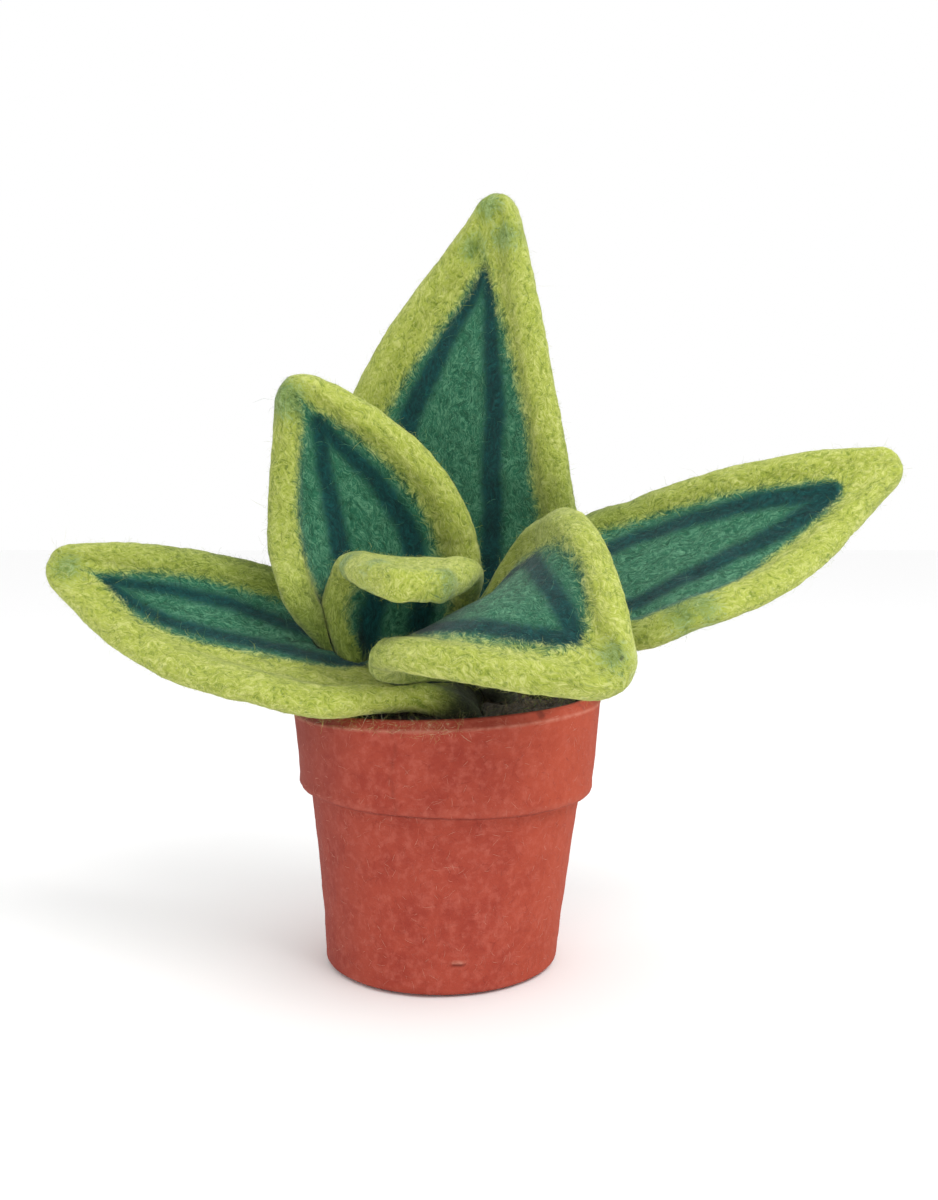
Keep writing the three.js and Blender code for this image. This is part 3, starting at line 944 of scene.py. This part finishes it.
class Wool(Nodes):
    """A felt material: its fibres, and the broad locks and patches that they lie in."""

    def __init__(self, name, attribute):
        super().__init__(name)
        self.weave = self.attribute(attribute, "Vector")
        by = self.noise(self.weave, *CURVING, output="Color")
        self.curved = self.shifted(self.weave, by, CURVING_REACH)
        self.fibres = self.crossing(FIBRE_STREAKS)
        self.locks = self.crossing(LOCK_STREAKS)
        self.patches = self.noise(self.weave, *PATCHES)

    def crossing(self, streaks):
        """Streaks that lie along the leaf and cross each other, from 0 to 1."""
        layers = []
        for turn, length, width in streaks:
            stretched = self.stretched(self.curved, turn, (length, width, 1.0))
            layers.append(self.ramp(self.noise(stretched, *STREAK_NOISE), *STREAK_RANGE))
        return self.blend(layers[0], self.math("MAXIMUM", layers[1], layers[2]), CROSSING_SHARE)

    def wool(self, shades):
        """One wool's colour: three shades, in patches and locks and by single fibres."""
        tone = self.blend(self.patches, self.locks, LOCKS_IN_TONE)
        layers = [(driver, ramp, shades[shade]) for driver, ramp, shade in WOOL_LAYERS]
        return self.layered(shades[DARK], {"tone": tone, "fibres": self.fibres}, layers)

    def fuzzy(self, name):
        """A marking's share at each point, with its edge broken up by locks and fibres."""
        strands = self.blend(self.fibres, self.locks, LOCKS_IN_WISPS)
        wisps = self.blend(strands, self.noise(self.weave, *WISPS), WISPS_SHARE)
        ragged = self.math("MULTIPLY", self.math("SUBTRACT", wisps, 0.5), RAGGED[name])
        return self.ramp(self.math("ADD", self.attribute(name), ragged), *EDGE_RANGE)

    def dashes(self):
        """Short marks where the needle drew the wool in, which leaf_felt darkens with painted shade."""
        inputs = {"Vector": self.stretched(self.curved, DASH_TURN, DASH_SIZES), "Scale": 1.0}
        return self.ramp(self.add("ShaderNodeTexVoronoi", inputs, "Distance"), *DASH_RAMP)

    def felt(self, colour):
        """The dull, soft surface that all the felt has."""
        self.bump(self.blend(self.fibres, self.locks, LOCKS_IN_WISPS), *FELT_BUMP)
        return self.finish({"Base Color": colour, **FELT_SURFACE})


def leaf_felt():
    nodes = Wool("leaf_felt", "weave")
    green = nodes.wool(GREEN_WOOL)
    colour = nodes.mix(nodes.fuzzy("stripe"), green, nodes.wool(TEAL_WOOL))
    # Painted shade: the margins go olive where they lie in shade
    edge = nodes.mix(nodes.attribute("painted_margin_shade"), nodes.wool(YELLOW_WOOL), nodes.wool(OLIVE_WOOL_AND_PAINTED_SHADE))
    colour = nodes.mix(nodes.fuzzy("margin"), colour, edge)
    colour = nodes.mix(nodes.math("MULTIPLY", nodes.fuzzy("spot"), SPOT_SHARE), colour, green)
    # Painted shade: the foot darkened, down in the middle of the plant
    colour = nodes.mix(nodes.attribute("root"), colour, nodes.wool(PAINTED_FOOT_SHADE))
    # Painted shade in the needle's pits and dashes
    pits = nodes.math("MAXIMUM", nodes.ramp(nodes.attribute("pits"), *PIT_RAMP), nodes.dashes())
    return nodes.felt(nodes.mix(pits, colour, nodes.mix(1.0, colour, PIT_PAINTED_SHADE, "MULTIPLY")))


def soil_felt():
    nodes = Wool("soil_felt", "place")
    return nodes.felt(nodes.wool(SOIL_WOOL))


def pot_paper():
    """Handmade paper: clouded terracotta, with painted light on its right side and painted shade on its
    left, worn edges, and painted shade in its creases.
    """
    nodes = Nodes("pot_paper")
    place = nodes.attribute("place", "Vector")
    drivers = {name: nodes.noise(place, *settings) for name, settings in PAPER_NOISES.items()}
    drivers["across"] = nodes.attribute("across")
    mottle = drivers["mottle"]
    colour = nodes.layered(PAPER_DARK, drivers, PAPER_LAYERS)
    worn = nodes.math("MULTIPLY", nodes.attribute("worn"), nodes.ramp(mottle, *WORN_MOTTLE))
    colour = nodes.mix(worn, colour, rgba(PAPER_WORN))
    # Painted shade in the creases and under the band's lower edge
    colour = nodes.mix(nodes.attribute("crease_shade"), colour, rgba(PAPER_CREASE_SHADE))
    nodes.bump(nodes.blend(drivers["pulp"], mottle, MOTTLE_IN_GRAIN), *PAPER_BUMP)
    return nodes.finish({"Base Color": colour, **PAPER_SURFACE})


def fibre_wool():
    """The loose fibres, each in its own colour."""
    nodes = Nodes("fibre")
    return nodes.finish({"Base Color": nodes.attribute("tint", "Color"), **FIBRE_SURFACE})


def finish_piece(piece, material, slot, *replaced):
    piece.data.materials.append(material)
    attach(piece, "root")
    if replaced:
        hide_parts(*replaced)


def grid_mesh(name, points):
    """A closed mesh of a grid whose columns wrap round, with a face over each end."""
    rows, columns = points.shape[:2]
    first = list(range(columns))
    last = list(range((rows - 1) * columns, rows * columns))
    return new_mesh(name, points.reshape(-1, 3), grid_faces(rows, columns), (first[::-1], last))


def applied(piece):
    """Puts the mesh with the piece's modifiers applied in place of the piece's own."""
    bpy.context.view_layer.update()
    seen = piece.evaluated_get(bpy.context.evaluated_depsgraph_get())
    mesh = bpy.data.meshes.new_from_object(seen)
    mesh.materials.clear()
    piece.modifiers.clear()
    piece.data = mesh


def points_of(piece):
    """A piece's points in millimetres, and its outward directions there."""
    mesh = piece.data
    points, normals = np.empty(len(mesh.vertices) * 3), np.empty(len(mesh.vertices) * 3)
    mesh.vertices.foreach_get("co", points)
    mesh.vertex_normals.foreach_get("vector", normals)
    return points.reshape(-1, 3) / MM, normals.reshape(-1, 3)


def cut_clear(piece, names):
    """Cuts a leaf's skin back from the leaves pressed against it."""
    for name in names:
        cutter = grid_mesh("cutter", leaf_grid(LEAVES[name], CUTTER_STEPS, PRESS_GAP)["points"])
        cut = piece.modifiers.new("cut", "BOOLEAN")
        cut.operation = "DIFFERENCE"
        cut.solver = "MANIFOLD"
        cut.object = cutter
        applied(piece)
        bpy.data.objects.remove(cutter)


def fibre_mesh(name, bundles):
    """One mesh of several bundles of ribbons, each with its points, quads and colours."""
    points, quads, colours = zip(*bundles)
    starts = np.cumsum([0] + [len(some) for some in points])
    quads = [some + start for some, start in zip(quads, starts)]
    piece = new_mesh(name, np.concatenate(points), np.concatenate(quads))
    set_colour(piece, "tint", np.concatenate(colours))
    return piece


def make_leaf(name, leaf, skin, fuzz, rng):
    """A leaf's felt skin, cut clear of its neighbours, and the fibres on it."""
    grid = leaf_grid(leaf)
    mark(leaf, grid)
    felted(grid)
    short_name = name.removeprefix("leaf_")
    piece = grid_mesh("felt_" + short_name, grid["points"])
    for key in ("margin", "stripe", "spot", "pits", "painted_margin_shade", "root"):
        set_number(piece, key, grid[key])
    layer = grid["height"] + rng.uniform(0, LAYER_SPREAD)
    set_vector(piece, "weave", np.stack([grid["from_tip"], grid["aside"], layer], axis=2))
    cut_clear(piece, PRESSED_BY.get(name, ()))
    finish_piece(piece, skin, "leaf_felt", name)

    area = cell_areas(grid["points"]).sum()
    bundles = [
        lying_fibres(grid, int(area * LYING_DENSITY), rng),
        loose_fibres(grid, int(area * LOOSE_DENSITY), rng),
        loose_fibres(grid, int(area * FLYAWAY_DENSITY), rng, longest=FLYAWAY_LENGTH),
    ]
    finish_piece(fibre_mesh("fuzz_" + short_name, bundles), fuzz, "leaf_felt")


def tilt_at(height):
    """How much the pot's level rings slope towards +X at a height."""
    share = np.clip((height - BAND_LOW_HEIGHT) / (BAND_TOP_HEIGHT - BAND_LOW_HEIGHT), 0, 1)
    above = BAND_LOW_TILT + (BAND_TOP_TILT - BAND_LOW_TILT) * share
    return np.where(height < BAND_LOW_HEIGHT, BAND_LOW_TILT * height / BAND_LOW_HEIGHT, above)


def pot_outline():
    """The pot's profile from the middle of its base, up its outside and down its inside to the
    middle of its floor, and for each point whether it is outside."""
    base = (BASE_RADIUS - BASE_CORNER, 0)
    body_low = (BASE_RADIUS, BASE_CORNER)
    body_top = (BODY_TOP_RADIUS, BODY_TOP_HEIGHT)
    step = (BODY_TOP_RADIUS + STEP_REACH, BAND_LOW_HEIGHT)
    band_low = (BAND_LOW_RADIUS, BAND_LOW_HEIGHT + BAND_CORNER)
    band_top = (BAND_TOP_RADIUS, BAND_TOP_HEIGHT)
    rim = (BAND_TOP_RADIUS - RIM_BEVEL, BAND_TOP_HEIGHT + RIM_BEVEL)
    under = [(POT_CENTRE_RADIUS, 0), base]
    outside = [
        (base, (BASE_RADIUS, 0), body_low),
        (body_low, (BASE_RADIUS + BODY_BULGE, BODY_TOP_HEIGHT / 2), body_top),
        (body_top, (BODY_TOP_RADIUS, BAND_LOW_HEIGHT), step),
        (step, (BAND_LOW_RADIUS, BAND_LOW_HEIGHT), band_low),
        (band_low, band_top),
        (band_top, rim),
    ]
    inside = [
        rim,
        (BAND_TOP_RADIUS - RIM_BEVEL - RIM_INNER_EASE, INNER_TOP_HEIGHT),
        (BAND_LOW_RADIUS - POT_WALL, BAND_LOW_HEIGHT + BAND_CORNER),
        (BODY_TOP_RADIUS - POT_WALL, BODY_TOP_HEIGHT),
        (BASE_RADIUS - POT_WALL, POT_FLOOR),
        (POT_CENTRE_RADIUS, POT_FLOOR),
    ]
    runs = [
        ([under], POT_HIDDEN_STEP, 0),
        (outside, POT_STEP, 1),
        (zip(inside, inside[1:]), POT_HIDDEN_STEP, 0),
    ]
    profile, is_outside = [], []
    for curves, fineness, flag in runs:
        for curve in curves:
            steps = max(2, math.ceil(math.dist(curve[0], curve[-1]) / fineness))
            profile.append(bezier(curve, np.arange(steps) / steps))
            is_outside += [flag] * steps
    return np.concatenate([*profile, inside[-1:]]), np.array(is_outside + [0])


def seam_relief(x, front, height):
    """The lap seam: a step at one side of it that dies away to the right, and the painted shade along
    its crease.
    """
    foot = smooth((height - BAND_LOW_HEIGHT) / SEAM_FOOT)
    head = smooth((SEAM_TOP - height) / SEAM_HEAD)
    seam = front * foot * head
    beside = x - SEAM_X - SEAM_WANDER * np.sin(height * SEAM_WAVES)
    step = smooth(beside / SEAM_STEP_WIDTH) * smooth((SEAM_RUN_OUT - beside) / SEAM_RUN_OUT)
    return SEAM_STEP * seam * step, seam * ridge(beside, *SEAM_CREASE)


def lip_relief(turn, height, outside):
    """The swollen lower edge of the band, the painted shadow in the crease under it, deepest in front,
    and its wear.
    """
    swell, crease_shade, worn = (ridge(height, *band) for band in (LIP_SWELL, LIP_CREASE, LIP_WORN))
    depth = LIP_CREASE_BEHIND + LIP_CREASE_IN_FRONT * smooth(np.cos(turn))
    return swell, outside * depth * crease_shade, worn


def fold_relief(turn, height, outside):
    """The doubled paper on a stretch of the rim, and the painted shade in the creases at its ends."""
    first, last = FOLD_TURNS
    on_rim = outside * smooth((height - BAND_TOP_HEIGHT - FOLD_LOW_EDGE) / FOLD_LOW_SOFTNESS)
    fold = on_rim * smooth((turn - first) / FOLD_EDGE) * smooth((last - turn) / FOLD_EDGE)
    return fold, on_rim * sum(ridge(turn, *crease_shade) for crease_shade in FOLD_CREASES)


def crescent_relief(x, front, height):
    """The curved wrinkle near the base: its rise, the painted shade in its crease and its worn top."""
    arc = height - CRESCENT_HEIGHT - CRESCENT_BEND * (x - CRESCENT_X) ** 2
    crescent = front * smooth((CRESCENT_REACH - abs(x - CRESCENT_X)) / CRESCENT_END)
    return [crescent * ridge(arc, *band) for band in (CRESCENT_RISE, CRESCENT_CREASE, CRESCENT_WORN)]


def paper_relief(points, turn, height, outside):
    """How far the paper stands out, with the painted shade in its creases and how worn it is, at each
    point.
    """
    x, front = points[..., 0], points[..., 1] < 0
    lumps = sum(rise * noise_at(points, pitch, pitch) for rise, pitch in PAPER_LUMPS)
    rise, pitch, squash = PAPER_PLEATS
    pleats = rise * noise_at(points * (1, 1, squash), pitch, PLEAT_SHIFT)
    seam, seam_crease = seam_relief(x, front, height)
    lip, lip_crease, lip_worn = lip_relief(turn, height, outside)
    fold, fold_crease = fold_relief(turn, height, outside)
    crescent, crescent_crease, crescent_worn = crescent_relief(x, front, height)

    flat_base = smooth((height - BASE_CLEARANCE) / FLAT_BASE_HEIGHT)
    relief = (lumps + pleats + seam + lip + FOLD_RISE * fold + crescent) * flat_base * outside
    crease_shade = seam_crease + lip_crease + fold_crease + crescent_crease
    worn = (crescent_worn + outside * ridge(height, *RIM_WORN) + lip_worn) * (1 - fold)
    return relief, np.clip(crease_shade, 0, 1), np.clip(worn, 0, 1)


def pot_points(radius, height, turn):
    """Points of the leaning pot at these radii, heights and turns."""
    x = radius * np.sin(turn) + LEAN * height
    y = -radius * np.cos(turn)
    return np.stack([x, y, height + tilt_at(height) * x], axis=2)


def pot_grid():
    """The pot's skin as rings of points, with what its material needs at each point."""
    profile, is_outside = pot_outline()
    outside = is_outside[:, None]
    turn = np.linspace(-np.pi, np.pi, POT_STEPS_ROUND, endpoint=False)[None]
    radius, height = profile[:, :1], profile[:, 1:]
    away = np.gradient(profile, axis=0)
    away = unit(np.stack([away[:, 1], -away[:, 0]], axis=1))
    points = pot_points(radius, height, turn)
    relief, crease_shade, worn = paper_relief(points, turn, height, outside)
    return {
        "points": pot_points(radius + away[:, :1] * relief, height + away[:, 1:] * relief, turn),
        "crease_shade": crease_shade,
        "worn": worn,
        "across": points[..., 0],
        "outside": outside,
    }


def make_pot(fuzz, rng):
    """The pot, the fibres in its paper, and the lint on the front of its rim."""
    grid = pot_grid()
    points, outside = grid["points"], grid["outside"]
    piece = grid_mesh("paper_pot", points)
    for key in ("crease_shade", "worn", "across"):
        set_number(piece, key, grid[key])
    set_vector(piece, "place", points)
    finish_piece(piece, pot_paper(), "pot_paper", "pot")

    side = outside * (points[..., 2] > 2 * FLAT_BASE_HEIGHT)
    pulp = plain_colour(PAPER_PULP)
    paper = lying_fibres(grid, PAPER_FIBRES, rng, pulp, side, PAPER_SPREAD, PAPER_BEND, PAPER_LENGTHS)
    finish_piece(fibre_mesh("paper_fibres", [paper]), fuzz, "pot_paper")

    rim = outside * (points[..., 2] > BAND_TOP_HEIGHT - LINT_DEPTH) * (points[..., 0] < LINT_REACH)
    rim = rim * (LINT_BEHIND + (points[..., 1] < 0))
    lint = loose_fibres(grid, RIM_LINT, rng, plain_colour(LINT_WOOL), rim, LINT_LENGTH, LINT_STEEPEST)
    finish_piece(fibre_mesh("rim_lint", [lint]), fuzz, "leaf_felt")


def soil_plug():
    """The plug of felt, made from the CAD model's plug so that it keeps the holes for the leaves."""
    piece = new_object("felt_soil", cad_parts["soil"].data.copy())
    piece.data.materials.clear()
    remesh = piece.modifiers.new("remesh", "REMESH")
    remesh.mode = "VOXEL"
    remesh.voxel_size = SOIL_VOXEL * MM
    applied(piece)
    return piece


def make_soil(fuzz, rng):
    """The soil, lumpy on top, and the tufts that stand where the photograph shows it."""
    piece = soil_plug()
    points, normals = points_of(piece)
    top = smooth((points[:, 2] - SOIL_TOP) / SOIL_TOP_DEPTH)
    top = top * smooth((normals[:, 2] - SOIL_UPWARD) / SOIL_UPWARD_SOFTNESS)
    for k, (rise, pitch) in enumerate(SOIL_LUMPS):
        points[:, 2] += rise * top * noise_at(points, pitch, SOIL_LUMP_SHIFT * k)
    piece.data.vertices.foreach_set("co", (points * MM).ravel())
    piece.data.polygons.foreach_set("use_smooth", [True] * len(piece.data.polygons))
    piece.data.update()
    set_vector(piece, "place", points)
    finish_piece(piece, soil_felt(), "soil_felt", "soil")

    points, normals = points_of(piece)
    grown = rng.choice(np.flatnonzero((top > SOIL_GROWN) & (points[:, 1] < SOIL_SEEN)), SOIL_FIBRES)
    pick = rng.random((SOIL_FIBRES, 1))
    is_olive = rng.random((SOIL_FIBRES, 1)) < SOIL_OLIVE_SHARE
    colour = np.where(is_olive, picked(OLIVE_WOOL_AND_PAINTED_SHADE, pick), picked(SOIL_WOOL, pick))
    shape = (SOIL_FIBRE_LENGTH, SOIL_STEEPEST, SOIL_FIBRE_WIDTH)
    tuft = tufts(points[grown], normals[grown], colour, rng, *shape)
    finish_piece(fibre_mesh("fuzz_soil", [tuft]), fuzz, "soil_felt")


def add_camera():
    """Where the photograph was taken from: 300 mm in front of the pot, a little above it."""
    camera = bpy.data.cameras.new("camera")
    camera.sensor_width = CAMERA_SENSOR
    camera.lens = CAMERA_LENS
    camera.clip_start = CAMERA_NEAR
    view = new_object("camera", camera)
    view.location = CAMERA_PLACE
    view.rotation_euler = (math.radians(90 - CAMERA_DOWN), 0, 0)
    bpy.context.scene.camera = view


def add_lamp():
    """One soft lamp, from the front right and above."""
    light = bpy.data.lights.new("key", "AREA")
    light.shape = "DISK"
    light.size = LAMP_SIZE
    light.energy = LAMP_POWER
    lamp = new_object("key", light)
    lamp.location = LAMP_PLACE
    lamp.rotation_euler = (Vector(LAMP_AIM) - Vector(LAMP_PLACE)).to_track_quat("-Z", "Y").to_euler()


def add_surroundings():
    """White surroundings and a plain pale floor."""
    world = bpy.data.worlds.new("studio")
    world.use_nodes = True
    background = world.node_tree.nodes["Background"]
    for name, value in SKY.items():
        background.inputs[name].default_value = value
    bpy.context.scene.world = world
    bpy.context.scene.view_settings.view_transform = "Standard"

    bpy.ops.mesh.primitive_plane_add(size=GROUND_SIZE, location=(0, 0, -GROUND_DROP))
    floor = bpy.context.active_object
    floor.name = "floor"
    floor.data.materials.append(Nodes("floor").finish(GROUND_SURFACE))


def main():
    rng = np.random.default_rng(SEED)
    skin, fuzz = leaf_felt(), fibre_wool()
    for name, leaf in LEAVES.items():
        make_leaf(name, leaf, skin, fuzz, rng)
    make_pot(fuzz, rng)
    make_soil(fuzz, rng)
    add_camera()
    add_surroundings()
    add_lamp()


main()
